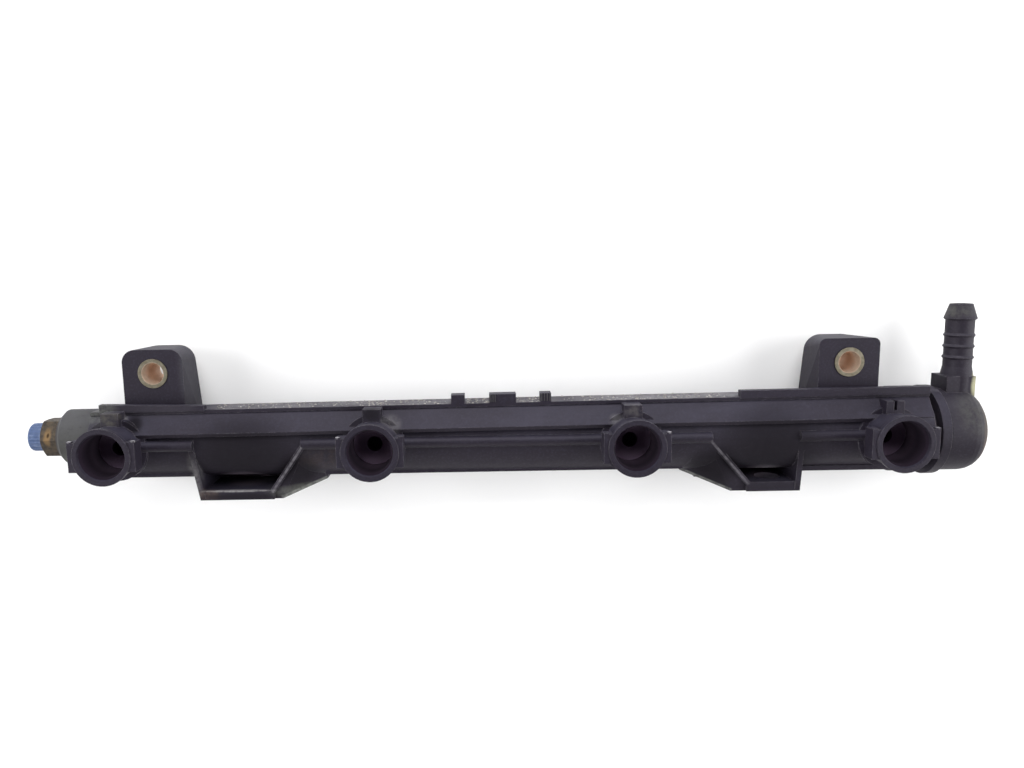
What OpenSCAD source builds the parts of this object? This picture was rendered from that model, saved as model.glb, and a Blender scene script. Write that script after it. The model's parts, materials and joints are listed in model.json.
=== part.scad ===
// Fuel rail of a four-cylinder engine: one black moulding with four injector cups, two bushed
// lugs and two bracket feet, a moulded end cap with a hose barb, and a brass test valve.
//
// The rail lies on its back. +X runs along it towards the hose barb, +Y towards the bolt lugs
// and +Z out of the injector cups. The origin is midway between the two bolt axes, on the
// seats of the lugs, which face the same way as the cups.

/* [Rail] */
// Distance between neighbouring injector cups
cup_pitch = 85; // [82:0.5:88]
// Distance between the two bolt axes
bolt_spacing = 232.4; // [228:0.2:236]
// Distance from the row of cups to the row of bolts
bolt_offset = 24.3; // [23:0.1:26]
// Outer diameter of the gallery tube
tube_d = 23.2; // [21:0.2:25]
// Bore of the gallery
gallery_d = 13; // [10:0.5:14]
// Depth of the gallery's axis behind the lug seats
gallery_depth = 5.2; // [4.5:0.1:6]

/* [Spine] */
// Height of the spine's top face above the row of cups
spine_top = 12.8; // [12:0.1:13.6]
// Thickness of the plate along the spine's top
plate_t = 1.2; // [0.8:0.1:1.6]
// How far the top plate's front edge stands above the lug seats
plate_front = 4.4; // [3.6:0.1:5]
// How far the top plate reaches behind the lug seats
plate_back = 6; // [4:0.2:8]
// Height of the sloping panel's lower edge above the row of cups
panel_foot = 5.4; // [4.8:0.1:6.2]
// How far the panel's lower edge stands above the lug seats
panel_reach = 8.2; // [7.6:0.1:9]
// Diameter of the half-round bead below the panel
bead_d = 3.6; // [3:0.1:4.2]
// Height of the bead above the row of cups
bead_rise = 0.9; // [0.4:0.1:1.4]
// Distance of the lower edge strip's underside below the row of cups
strip_drop = 10.8; // [10.2:0.1:11.6]
// Height of the lower edge strip
strip_h = 1.7; // [1.2:0.1:2.4]
// Thickness of the raised flange under the left lug, at its inner end
left_flange_t = 1.4; // [0.8:0.1:1.8]
// Thickness of the same flange at its outer end
left_flange_end_t = 2.4; // [1.6:0.1:3]
// Thickness of the raised flange at the hose end
right_flange_t = 2.2; // [1.6:0.1:2.8]

/* [Injector cups] */
// Bore of a cup, which takes the injector's O-ring
cup_bore = 14; // [13:0.1:14.6]
// Wall of a cup
cup_wall = 1.6; // [1.2:0.1:2.2]
// Height of a cup's mouth above the lug seats
cup_reach = 18; // [16:0.2:20]
// Height of a cup's floor above the lug seats
cup_floor = 3.8; // [2.8:0.1:5]
// Bore of the port between a cup and the gallery
port_d = 5; // [3:0.1:6]
// Diameter of the collar at the foot of a cup
collar_d = 20.8; // [19:0.1:22]
// Height of the collar's face above the lug seats
collar_reach = 7.4; // [6.8:0.1:8.6]
// Width over the two clip ears of a cup
ear_span = 21.4; // [20.6:0.1:23]
// Height of a clip ear
ear_h = 9.6; // [8:0.1:12]
// Length of a clip ear along the cup
ear_len = 5.2; // [4:0.1:6.4]
// Width of the key above a cup
key_w = 5.8; // [4:0.1:6.4]
// Height of the key's top above the row of cups
key_top = 12.6; // [11.4:0.1:13.2]
// Height of the key's face above the lug seats
key_reach = 9.8; // [9.2:0.1:12]

/* [Lugs] */
// Width of a lug
lug_w = 20.2; // [18:0.2:24]
// Height of a lug above its bolt axis
lug_rise = 8; // [7:0.1:9.6]
// Depth of a lug from its seat to its back
lug_depth = 15.4; // [14:0.2:18]
// Outer diameter of a bush
bush_d = 9.8; // [9:0.1:11]
// Bore of a bush
bush_bore = 7.2; // [6.4:0.1:7.8]
// How far a bush stands out of its lug's seat
bush_proud = 0.3; // [0.1:0.1:0.6]

/* [Brackets] */
// Distance of a bracket's lower face below the row of cups
foot_drop = 18.4; // [17:0.1:20]
// Thickness of a bracket's lower lip
lip_t = 3.2; // [2.4:0.1:4]
// Thickness of a bracket's outer wall
foot_wall_t = 1.8; // [1.2:0.1:2.4]
// Thickness of a bracket's slanted rib
foot_rib_t = 1.2; // [0.8:0.1:1.8]
// How far a bracket's lip stands above the lug seats
foot_front = 4.5; // [3.5:0.1:5.5]
// Diameter of the clip hole through the right bracket's lip
clip_hole_d = 8.4; // [6:0.1:10]
// Place of the left bracket's outer wall, from the rail's middle
left_foot_wall_x = 101.6; // [99:0.2:104]
// Place of the right bracket's outer wall, from the rail's middle
right_foot_wall_x = 99.8; // [98:0.2:102]
// Lean of the left bracket's outer wall, in degrees
left_foot_lean = 7; // [0:0.5:10]

/* [Hose elbow] */
// Diameter of the end cap
cap_d = 28.2; // [27:0.1:29]
// Length of the end cap
cap_len = 14.8; // [12.6:0.1:16]
// Diameter of the ring that the end cap is joined to
ring_d = 30.4; // [29.2:0.1:31.6]
// Bore of the hose barb
barb_bore = 5.5; // [4:0.1:6.4]
// Diameter of the barb's stem, for a hose of 8 mm
stem_d = 8.8; // [8.2:0.1:9.2]
// Diameter of the barb at its tip cone
barb_d = 10.1; // [9.7:0.1:10.6]
// Height of the barb's end above the row of cups
barb_top = 42.8; // [39:0.2:46]

/* [Test valve] */
// Diameter of the boss that holds the test valve
boss_d = 18.8; // [17.4:0.1:19.6]
// Height of the valve's axis above the row of cups
valve_rise = 2.3; // [1.6:0.1:3]
// Width across the flats of the valve's hexagon
hex_af = 12; // [10:0.1:12.6]
// Diameter of the valve's neck
neck_d = 7.7; // [7:0.1:8.2]
// Diameter of the dust cap
dust_cap_d = 9.6; // [9.4:0.1:11]
// Length of the dust cap
dust_cap_len = 5.2; // [4.6:0.1:6]
// Travel of the valve's pin
pin_travel = 1.2; // [0.6:0.1:1.4]

/* [Hidden] */
$fn = 96;

// Overrun of every cut, and the sink of one part of a moulding into the next
over = 0.5;
sink = 0.4;

// Clearance between a seal and the walls beside it, and of a piece that slides
seal_gap = 0.02;
slide_gap = 0.08;

cup_count = 4;
cup_xs = [for (i = [0 : cup_count - 1]) (i - (cup_count - 1) / 2) * cup_pitch];
first_cup_x = cup_xs[0];
last_cup_x = cup_xs[cup_count - 1];
lug_x = bolt_spacing / 2;

// The gallery and the tube around it, which grows towards the hose end
tube_r = tube_d / 2;
tube_growth = 1;
gallery_r = gallery_d / 2;
gallery_z = -gallery_depth;
tube_front = tube_r - gallery_depth;
tube_end_t = 1.2;
tube_left = first_cup_x - cup_bore / 2 - tube_end_t;
strip_front = 1.8;
right_strip_lower = 1.5;
bead_lift = 0.35;
strip_back = 8;
gallery_left = first_cup_x - cup_bore / 2;

// Right end: collar in front of the groove, groove, ring and end cap
groove_w = 2.2;
groove_d = 23.4;
ring_w = 3;
shoulder_run = 5;
groove_run = 13.9;
shoulder_x = last_cup_x + shoulder_run;
groove_x = last_cup_x + groove_run;
ring_x = groove_x + groove_w;
cap_x = ring_x + ring_w;
cap_end = cap_x + cap_len;

// Left end: boss, its rim, and the flange's chamfer
boss_len = 13.9;
boss_x = tube_left - boss_len;
boss_rim = 1.9;
boss_rim_step = 1.9;
spine_out = 0.5;
spine_left = tube_left - spine_out;
spine_chamfer_x = 3.4;
spine_chamfer_y = 2.8;
spine_back_share = 0.64;
spine_rise_deg = 0.4;
spine_level_x = -62;

// Flanges
left_flange_in = 18;
right_flange_in = 37.4;
flange_overhang = 0.5;
flange_depth = 2.6;

// Cup details
cup_r = cup_bore / 2 + cup_wall;
lead_in = 0.7;
lead_in_len = 2;
rim_t = 0.7;
rim_len = 1.6;
ear_back = 0.4;
ear_nub = 0.8;
key_slot_w = 1;
key_slot_depth = 3.2;

// Tabs on the spine's top edge: place of each one's middle, and its width
tab_xs = [-14.4, 0.4, 14.6];
tab_ws = [4.5, 8.8, 3.6];
tab_h = 2.9;
tab_len = 4.4;

// Lug details: radius of the corners on the seat side and at the back, and spread of the base
left_lug_r = 4.4;
right_lug_r = 2.2;
lug_back_r = 5.6;
lug_spread = 2.6;
lug_taper = 0.9;
lug_skin = 0.1;

// Bracket details: each slanted rib's foot and head, and the end of the ramp beyond it
left_rib_foot_x = 78;
left_rib_head_x = 66.4;
right_rib_foot_x = 83.1;
right_rib_head_x = 69;
rib_head_drop = -1;
rib_head_reach = tube_front + 0.8;
left_ramp_x = 59.8;
right_ramp_x = 61;
left_ramp_run = 4;
right_ramp_run = 6.4;
left_ramp_drop = 13.2;
right_ramp_drop = 12.4;
ramp_end_depth = 2.4;
ramp_sink = 1.1;
clip_x = 91.4;
clip_depth = 3.6;
foot_back = lug_depth;
foot_plate_t = 2;
foot_wall_rise = 1.3;
foot_wall_reach = tube_front + 1;

// Elbow details
spigot_len = 9;
spigot_d = gallery_d - 2 * slide_gap;
spigot_bore = 7;
seal_t = 1.9;
seal_groove_w = 2.4;
seal_run = 5.2;
seal_x = cap_x - seal_run;
cap_edge_r = 6;
seam_gap = 0.9;
seam_w = 0.7;
barb_inset = 6;
barb_x = cap_end - barb_inset;
pad_inset = 7;
pad_x = cap_end - pad_inset;
pad_w = 9.6;
pad_top = 18.7;
pad_slot_w = 0.9;
pad_slot_depth = 1.4;
flare_d = 10;
flare_h = 3;
barb_rib_out = 0.45;
barb_rib_half = 0.7;
barb_rib_first = 6.1;
barb_rib_step = 3.75;
barb_ribs = 3;
tip_len = 4.9;
tip_d = 7;
tip_hook = 0.6;

// Test valve body, measured from the end of the boss
hex_len = 6;
hex_chamfer = 0.6;
shank_d = 10;
shank_len = 9;
valve_seal_t = 1.5;
valve_seal_x = 6.2;
flow_d = 2.6;

// Dust cap: gap to the hexagon, end wall and liner, which rests on the end of the neck
dust_cap_gap = 0.3;
dust_cap_end_t = 0.9;
liner_t = 0.8;
liner_gap = 0.05;
neck_len = dust_cap_gap + dust_cap_len - dust_cap_end_t - liner_t;
neck_mouth = boss_x - hex_len - neck_len;

// Valve core, each place measured from the mouth of the neck
core_bore = 4.4;
barrel_at = 1;
barrel_len = 4;
barrel_wall = 0.45;
barrel_seat_t = 0.8;
barrel_hole_d = 1.8;
barrel_seal_at = 2.6;
barrel_seal_w = 0.8;
barrel_seal_t = 0.2;
pin_d = 1.2;
pin_top = 0.5;
pin_collar_at = 1.2;
pin_collar_t = 0.5;
pin_collar_gap = 0.15;
pin_head_d = 2.5;
pin_head_t = 0.8;
pin_seal_t = 0.5;
pin_room = 0.4;
core_len = barrel_at + barrel_len + pin_seal_t + pin_head_t + pin_travel + pin_room;

// Spring of the core, between the pin's collar and the barrel's seat
spring_wire = 0.3;
spring_turns = 3;
spring_sides = 8;
spring_steps = 10;
spring_d = 2.3;

// Extrudes a flat shape drawn in (Y, Z) along X, from one place to another
module along_x(from, to) {
    translate([from, 0, 0]) rotate([90, 0, 90]) linear_extrude(to - from) children();
}

// A cylinder along X on the line (y, z)
module rod_x(from, to, r, y, z) {
    translate([from, y, z]) rotate([0, 90, 0]) cylinder(h = to - from, r = r);
}

// A block between two corners
module block(low, high) {
    translate(low) cube(high - low);
}

// Puts what is modelled about the row of cups where the bolts' line is Y = 0
module from_cup_line() {
    translate([0, -bolt_offset, 0]) children();
}

// Section of the spine: top plate, sloping panel, undercut, and the back that meets the tube
module spine_section() {
    plate_foot = spine_top - plate_t;
    undercut = panel_foot - plate_t;
    polygon([
        [spine_top, plate_front],
        [plate_foot, plate_front],
        [plate_foot, plate_front - flange_overhang],
        [panel_foot, panel_reach],
        [undercut, panel_reach - plate_t / 2],
        [undercut, tube_front / 2],
        [0, gallery_z],
        [undercut * 2, gallery_z - tube_r * spine_back_share],
        [spine_top - plate_t, -plate_back],
        [spine_top, -plate_back]
    ]);
}

// The spine along the whole rail, with its top corner taken off at the test valve's end
module spine() {
    slope = spine_chamfer_y / spine_chamfer_x;
    corner_y = spine_top + left_flange_end_t;
    corner_x = spine_left + spine_chamfer_x;
    difference() {
        along_x(spine_left, groove_x) spine_section();
        translate([0, 0, -plate_back - over])
            linear_extrude(plate_back + plate_front + 2 * over) polygon([
                [spine_left - over, corner_y - spine_chamfer_y - over * slope],
                [corner_x, corner_y], [spine_left - over, corner_y]
            ]);
    }
}

// A raised flange along the front of the spine's top face, which may rise from one end to the other
module flange(from, to, thick_from, thick_to) {
    front = plate_front + flange_overhang;
    translate([0, 0, front - flange_depth]) linear_extrude(flange_depth) polygon([
        [from, spine_top - sink], [to, spine_top - sink],
        [to, spine_top + thick_to], [from, spine_top + thick_from]
    ]);
}

// The strip along the lower edge of the tube, some way lower than the usual drop
module lower_strip(from, to, lower) {
    block([from, -strip_drop - lower, -strip_back], [to, -strip_drop - lower + strip_h, strip_front]);
}

module bead(from, to) {
    rod_x(from, to, bead_d / 2, bead_rise, tube_front + bead_lift);
}

// The tube around the gallery, which grows towards the hose end as its mould draws
module tube() {
    translate([tube_left, 0, gallery_z]) rotate([0, 90, 0])
        cylinder(h = groove_x - tube_left, r1 = tube_r, r2 = tube_r + tube_growth);
}

// What stands on the tube's upper side and rises a little towards the hose end: the spine, its
// flanges and its tabs
module rising() {
    translate([spine_level_x, 0, 0]) rotate([0, 0, spine_rise_deg])
        translate([-spine_level_x, 0, 0]) children();
}

// Outside of one injector cup, on its own axis
module cup_outside() {
    translate([0, 0, gallery_z]) cylinder(h = cup_reach - gallery_z, r = cup_r);
    translate([0, 0, cup_reach - rim_len]) cylinder(h = rim_len, r = cup_r + rim_t);
    translate([0, 0, gallery_z]) cylinder(h = collar_reach - gallery_z, d = collar_d);
    for (side = [-1, 1]) cup_ear(side);
}

// One of the two ears that hold the injector's clip, with a small nub on its upper corner
module cup_ear(side) {
    ear_front = cup_reach - ear_back;
    inner = cup_r - cup_wall / 2;
    scale([side, 1, 1]) {
        block([inner, -ear_h / 2, ear_front - ear_len], [ear_span / 2, ear_h / 2, ear_front]);
        block([ear_span / 2 - ear_nub * 2, ear_h / 2 - sink, ear_front - ear_nub * 2],
            [ear_span / 2, ear_h / 2 + ear_nub / 2, ear_front]);
    }
}

// The key above a cup, which turns the injector the right way round
module cup_key(slotted) {
    difference() {
        block([-key_w / 2, cup_r - cup_wall / 2, 0], [key_w / 2, key_top, key_reach]);
        if (slotted)
            block([-key_slot_w / 2, key_top - key_slot_depth, key_reach - key_slot_depth],
                [key_slot_w / 2, key_top + over, key_reach + over]);
    }
}

// Bore, lead-in and port of one cup, cut along its axis
module cup_inside() {
    translate([0, 0, cup_floor]) cylinder(h = cup_reach - cup_floor + over, d = cup_bore);
    lead_over = lead_in * over / lead_in_len;
    translate([0, 0, cup_reach - lead_in_len])
        cylinder(h = lead_in_len + over, r1 = cup_bore / 2, r2 = cup_bore / 2 + lead_in + lead_over);
    translate([0, 0, gallery_z]) cylinder(h = cup_floor - gallery_z + over, d = port_d);
}

// A bolt lug, small-cornered on its seat, rounder and narrower at the top of its back, which
// runs down behind the tube
module lug(corner_r) {
    hull() {
        lug_slice(-lug_skin, corner_r, lug_w, lug_w);
        lug_slice(-lug_depth, lug_back_r, lug_w - 2 * lug_taper, lug_w + lug_spread);
    }
}

// A thin slice of a lug at height z, with two round upper corners
module lug_slice(z, corner_r, top_w, base_w) {
    translate([-base_w / 2, -bolt_offset, z]) cube([base_w, lug_skin, lug_skin]);
    for (side = [-1, 1])
        translate([side * (top_w / 2 - corner_r), lug_rise - corner_r, z])
            cylinder(h = lug_skin, r = corner_r, $fn = 32);
}

module bush_seat() {
    translate([0, 0, -lug_depth - over]) cylinder(h = lug_depth + 2 * over, d = bush_d);
}

module bush() {
    color("#c9a648")
        difference() {
            translate([0, 0, -lug_depth]) cylinder(h = lug_depth + bush_proud, d = bush_d);
            translate([0, 0, -lug_depth - over])
                cylinder(h = lug_depth + bush_proud + 2 * over, d = bush_bore);
        }
}

// A bracket foot on the right half of the rail; the left one is its mirror image
module foot(wall_x, lean, rib_foot_x, rib_head_x, ramp_x, ramp_run, ramp_drop) {
    lip_top = -foot_drop + lip_t;
    wall_mid = wall_x - foot_wall_t / 2;
    // Lower lip and the plate that closes the pocket at the back, both ending inside the wall
    block([rib_foot_x - foot_rib_t, -foot_drop, -foot_back], [wall_mid, lip_top, foot_front]);
    translate([0, 0, -foot_back]) linear_extrude(foot_plate_t) polygon([
        [rib_head_x, -foot_drop + sink], [wall_mid, -foot_drop + sink],
        [wall_mid + foot_drop * tan(lean), 0], [rib_head_x, 0]
    ]);
    foot_wall(wall_x, lean);
    // Slanted rib, and the ramp behind it that falls to the tube
    hull() foot_rib(rib_foot_x, rib_head_x, lip_top, 0);
    hull() {
        foot_rib(rib_foot_x, rib_head_x, lip_top, ramp_sink);
        block([rib_foot_x - ramp_run, -foot_drop, -foot_back],
            [rib_foot_x, lip_top, foot_front - ramp_sink]);
        block([ramp_x, -ramp_drop, -foot_back], [ramp_x + foot_rib_t, 0, -ramp_end_depth]);
    }
}

// The outer wall of a foot, which leans out from its foot and reaches further forward higher up
module foot_wall(wall_x, lean) {
    run = (foot_drop + foot_wall_rise) * tan(lean);
    intersection() {
        translate([0, 0, -foot_back]) linear_extrude(foot_back + foot_wall_reach) polygon([
            [wall_x - foot_wall_t, -foot_drop], [wall_x, -foot_drop],
            [wall_x + run, foot_wall_rise], [wall_x - foot_wall_t + run, foot_wall_rise]
        ]);
        along_x(wall_x - foot_wall_t - over, wall_x + run + over) polygon([
            [-foot_drop, foot_front], [-foot_drop, -foot_back], [0, -foot_back],
            [foot_wall_rise, foot_wall_reach - foot_wall_t], [foot_wall_rise, foot_wall_reach]
        ]);
    }
}

// The two ends of a foot's slanted rib, set back by some depth
module foot_rib(rib_foot_x, rib_head_x, lip_top, back) {
    translate([rib_foot_x - foot_rib_t, lip_top - foot_rib_t, -foot_back])
        cube([foot_rib_t, foot_rib_t, foot_back + foot_front - back]);
    translate([rib_head_x - foot_rib_t, -rib_head_drop - foot_rib_t, -foot_back])
        cube([foot_rib_t, foot_rib_t, foot_back + rib_head_reach - back]);
}

// The hole through the right bracket's lip that takes a wiring clip
module clip_hole() {
    translate([clip_x, -foot_drop - over, -clip_depth]) rotate([-90, 0, 0])
        cylinder(h = lip_t + 2 * over, d = clip_hole_d);
}

// The boss that holds the test valve, with a chamfered end
module boss() {
    boss_r = boss_d / 2;
    turned_x(valve_rise) polygon([
        [0, boss_x], [boss_r - boss_rim_step, boss_x], [boss_r, boss_x + boss_rim],
        [boss_r, tube_left + sink], [0, tube_left + sink]
    ]);
}

// Shoulder, groove and ring at the hose end
module hose_end() {
    rod_x(shoulder_x, groove_x, spine_top + right_flange_t - bead_rise / 2, bead_rise / 2, gallery_z);
    rod_x(groove_x - sink, ring_x + sink, groove_d / 2, 0, gallery_z);
    rod_x(ring_x, cap_x, ring_d / 2, 0, gallery_z);
}

// Everything that is hollow in the rail: gallery, valve bore, cups and bush seats
module rail_hollows() {
    rod_x(gallery_left, cap_x + over, gallery_r, 0, gallery_z);
    rod_x(boss_x - over, boss_x + shank_len + slide_gap, shank_d / 2, valve_rise, gallery_z);
    rod_x(boss_x, gallery_left + over, flow_d, valve_rise, gallery_z);
    for (x = cup_xs) translate([x, 0, 0]) cup_inside();
    clip_hole();
}

// All that stands about the tube, before anything is bored
module rail_solid() {
    left_wall_top = left_foot_wall_x + foot_drop * tan(left_foot_lean);
    tube();
    rising() {
        spine();
        flange(spine_left + spine_chamfer_x, -lug_x + left_flange_in, left_flange_end_t,
            left_flange_t);
        flange(lug_x - right_flange_in, groove_x, right_flange_t, right_flange_t);
        for (i = [0 : len(tab_xs) - 1])
            translate([tab_xs[i], 0, plate_front])
                block([-tab_ws[i] / 2, spine_top - sink, -tab_len],
                    [tab_ws[i] / 2, spine_top + tab_h, 0]);
    }
    lower_strip(tube_left, -left_foot_wall_x, 0);
    lower_strip(-left_ramp_x, right_ramp_x, 0);
    lower_strip(right_foot_wall_x - foot_wall_t, groove_x, right_strip_lower);
    bead(tube_left, -left_wall_top + foot_wall_t);
    bead(-left_rib_head_x, right_rib_head_x);
    bead(right_foot_wall_x - foot_wall_t, groove_x);
    for (x = cup_xs) translate([x, 0, 0]) {
        cup_outside();
        cup_key(x == last_cup_x);
    }
    foot(right_foot_wall_x, 0, right_rib_foot_x, right_rib_head_x, right_ramp_x,
        right_ramp_run, right_ramp_drop);
    mirror([1, 0, 0])
        foot(left_foot_wall_x, left_foot_lean, left_rib_foot_x, left_rib_head_x, left_ramp_x,
            left_ramp_run, left_ramp_drop);
    boss();
    hose_end();
}

module rail_body() {
    color("#26252a") difference() {
        union() {
            from_cup_line() rail_solid();
            translate([-lug_x, 0, 0]) lug(left_lug_r);
            translate([lug_x, 0, 0]) lug(right_lug_r);
        }
        from_cup_line() rail_hollows();
        for (side = [-1, 1]) translate([side * lug_x, 0, 0]) bush_seat();
    }
}

module left_bush() {
    translate([-lug_x, 0, 0]) bush();
}

module right_bush() {
    translate([lug_x, 0, 0]) bush();
}

// Turns a profile drawn as (radius, distance) about the gallery's axis, distances along +X
module turned_x(y) {
    translate([0, y, gallery_z]) rotate([0, 90, 0]) rotate_extrude() children();
}

// Outline of the barb from the pad up: flare, stem with ribs, and the hooked tip cone
function barb_rib_points(n) =
    let (y = pad_top + barb_rib_first + n * barb_rib_step, r = stem_d / 2)
    [[r, y - barb_rib_half], [r + barb_rib_out, y], [r, y + barb_rib_half]];

module barb() {
    tip_foot = barb_top - tip_len;
    translate([barb_x, 0, gallery_z]) rotate([-90, 0, 0]) rotate_extrude()
        polygon(concat(
            [[0, 0], [flare_d / 2, 0], [flare_d / 2, pad_top], [stem_d / 2, pad_top + flare_h]],
            [for (n = [0 : barb_ribs - 1], p = barb_rib_points(n)) p],
            [[stem_d / 2, tip_foot - tip_hook], [barb_d / 2, tip_foot], [tip_d / 2, barb_top],
                [0, barb_top]]
        ));
}

// The end cap, its spigot and the pad below the barb
module elbow_solid() {
    cap_r = cap_d / 2;
    turned_x(0) polygon(concat(
        [[0, cap_x - spigot_len], [spigot_d / 2, cap_x - spigot_len],
            [spigot_d / 2, seal_x - seal_groove_w / 2],
            [spigot_d / 2 - seal_t + 2 * seal_gap, seal_x - seal_groove_w / 2],
            [spigot_d / 2 - seal_t + 2 * seal_gap, seal_x + seal_groove_w / 2],
            [spigot_d / 2, seal_x + seal_groove_w / 2], [spigot_d / 2, cap_x],
            [cap_r - seam_gap, cap_x], [cap_r - seam_gap, cap_x + seam_w], [cap_r, cap_x + seam_w]],
        [for (a = [0 : 15 : 90])
            [cap_r - cap_edge_r + cap_edge_r * cos(a), cap_end - cap_edge_r + cap_edge_r * sin(a)]],
        [[0, cap_end]]
    ));
    difference() {
        block([pad_x - pad_w / 2, 0, gallery_z - pad_w / 2],
            [pad_x + pad_w / 2, pad_top, gallery_z + pad_w / 2]);
        block([barb_x - pad_slot_w / 2, cap_r - pad_slot_depth, gallery_z + pad_w / 2 - pad_slot_depth],
            [barb_x + pad_slot_w / 2, pad_top - pad_slot_w, gallery_z + pad_w / 2 + over]);
    }
    barb();
}

module inlet_elbow() {
    color("#2b2a30") from_cup_line() difference() {
        elbow_solid();
        rod_x(cap_x - spigot_len - over, barb_x + spigot_bore / 2, spigot_bore / 2, 0, gallery_z);
        translate([barb_x, 0, gallery_z]) rotate([-90, 0, 0]) cylinder(h = barb_top + over, d = barb_bore);
    }
}

// A ring of round section about an axis along X
module o_ring(x, y, outer_d, thick) {
    turned_x(y) translate([outer_d / 2 - thick / 2, x]) circle(d = thick, $fn = 32);
}

module inlet_seal() {
    color("#141414") from_cup_line()
        o_ring(seal_x, 0, gallery_d - 2 * seal_gap, seal_t - seal_gap - slide_gap);
}

// Body of the test valve: neck, hexagon, and shank with a seal groove
module test_valve_body() {
    shank_r = shank_d / 2 - slide_gap;
    groove_r = shank_d / 2 - valve_seal_t;
    seal_from = boss_x + valve_seal_x - seal_groove_w / 2;
    seal_to = boss_x + valve_seal_x + seal_groove_w / 2;
    hex_from = boss_x - hex_len;
    color("#b08a3c") from_cup_line() difference() {
        union() {
            turned_x(valve_rise) polygon([
                [0, neck_mouth], [neck_d / 2 - hex_chamfer, neck_mouth],
                [neck_d / 2, neck_mouth + hex_chamfer],
                [neck_d / 2, hex_from + sink], [neck_d / 2, boss_x - sink], [shank_r, boss_x - sink],
                [shank_r, seal_from], [groove_r, seal_from], [groove_r, seal_to], [shank_r, seal_to],
                [shank_r, boss_x + shank_len], [0, boss_x + shank_len]
            ]);
            intersection() {
                translate([hex_from, valve_rise, gallery_z]) rotate([0, 90, 0])
                    cylinder(h = hex_len, d = hex_af / cos(30), $fn = 6);
                turned_x(valve_rise) polygon([
                    [0, hex_from], [hex_af / 2, hex_from],
                    [hex_af / 2 + 2 * hex_chamfer, hex_from + hex_chamfer],
                    [hex_af / 2 + 2 * hex_chamfer, boss_x], [0, boss_x]
                ]);
            }
        }
        rod_x(neck_mouth - over, neck_mouth + core_len, core_bore / 2, valve_rise, gallery_z);
        rod_x(neck_mouth, boss_x + shank_len + over, flow_d / 2, valve_rise, gallery_z);
    }
}

module test_valve_seal() {
    color("#141414") from_cup_line()
        o_ring(boss_x + valve_seal_x, valve_rise, shank_d - 2 * seal_gap, valve_seal_t - 2 * seal_gap);
}

// Barrel of the valve core: a cup open towards the mouth, with a groove for its seal and a
// hole in its end that the pin passes through
module core_barrel() {
    r = core_bore / 2 - seal_gap;
    inner = r - barrel_wall;
    from = neck_mouth + barrel_at;
    to = from + barrel_len;
    seal_from = neck_mouth + barrel_seal_at;
    color("#c39a4a") from_cup_line() turned_x(valve_rise) polygon([
        [inner, from], [r, from], [r, seal_from], [r - barrel_seal_t, seal_from],
        [r - barrel_seal_t, seal_from + barrel_seal_w], [r, seal_from + barrel_seal_w], [r, to],
        [barrel_hole_d / 2, to], [barrel_hole_d / 2, to - barrel_seat_t], [inner, to - barrel_seat_t]
    ]);
}

module core_barrel_seal() {
    r = core_bore / 2 - seal_gap / 2;
    from = neck_mouth + barrel_seal_at + seal_gap;
    color("#e8e8e0") from_cup_line() turned_x(valve_rise) polygon([
        [r - barrel_seal_t, from], [r, from],
        [r, from + barrel_seal_w - 2 * seal_gap], [r - barrel_seal_t, from + barrel_seal_w - 2 * seal_gap]
    ]);
}

// Pin of the valve core: tip, collar that the spring pushes on, stem, and the head that closes
// the core from inside
module core_pin() {
    collar_r = core_bore / 2 - seal_gap - barrel_wall - pin_collar_gap;
    collar_from = neck_mouth + pin_collar_at;
    head_from = neck_mouth + barrel_at + barrel_len + pin_seal_t;
    color("#b9bcc0") from_cup_line() turned_x(valve_rise) polygon([
        [0, neck_mouth + pin_top], [pin_d / 2, neck_mouth + pin_top], [pin_d / 2, collar_from],
        [collar_r, collar_from], [collar_r, collar_from + pin_collar_t],
        [pin_d / 2, collar_from + pin_collar_t], [pin_d / 2, head_from], [pin_head_d / 2, head_from],
        [pin_head_d / 2, head_from + pin_head_t], [0, head_from + pin_head_t]
    ]);
}

// Rubber washer under the pin's head, which shuts against the barrel's end
module core_pin_seal() {
    from = neck_mouth + barrel_at + barrel_len;
    color("#141414") from_cup_line() turned_x(valve_rise) polygon([
        [pin_d / 2, from], [pin_head_d / 2, from],
        [pin_head_d / 2, from + pin_seal_t], [pin_d / 2, from + pin_seal_t]
    ]);
}

// A tube swept along points, with a ring of sides around each and closed ends
module swept(points, r, sides) {
    n = len(points);
    rings = [for (i = [0 : n - 1])
        let (t = points[min(i + 1, n - 1)] - points[max(i - 1, 0)],
             d = t / norm(t),
             u = cross(d, [1, 0, 0]),
             a = u / norm(u),
             b = cross(d, a))
        for (k = [0 : sides - 1])
            points[i] + r * (a * cos(360 * k / sides) + b * sin(360 * k / sides))];
    walls = [for (i = [0 : n - 2], k = [0 : sides - 1])
        let (m = (k + 1) % sides)
        [i * sides + k, (i + 1) * sides + k, (i + 1) * sides + m, i * sides + m]];
    ends = [[for (k = [0 : sides - 1]) k], [for (k = [sides - 1 : -1 : 0]) (n - 1) * sides + k]];
    polyhedron(rings, concat(walls, ends));
}

// Coil spring of the valve core, between the pin's collar and the barrel's end wall
module core_spring() {
    from = neck_mouth + pin_collar_at + pin_collar_t + spring_wire / 2 + seal_gap;
    to = neck_mouth + barrel_at + barrel_len - barrel_seat_t - spring_wire / 2 - seal_gap;
    steps = spring_turns * spring_steps;
    mean_r = (spring_d - spring_wire) / 2;
    color("#d0d3d6") from_cup_line() translate([0, valve_rise, gallery_z])
        swept([for (i = [0 : steps])
            [from + (to - from) * i / steps, mean_r * cos(360 * i / spring_steps),
                mean_r * sin(360 * i / spring_steps)]],
            spring_wire / 2, spring_sides);
}

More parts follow.
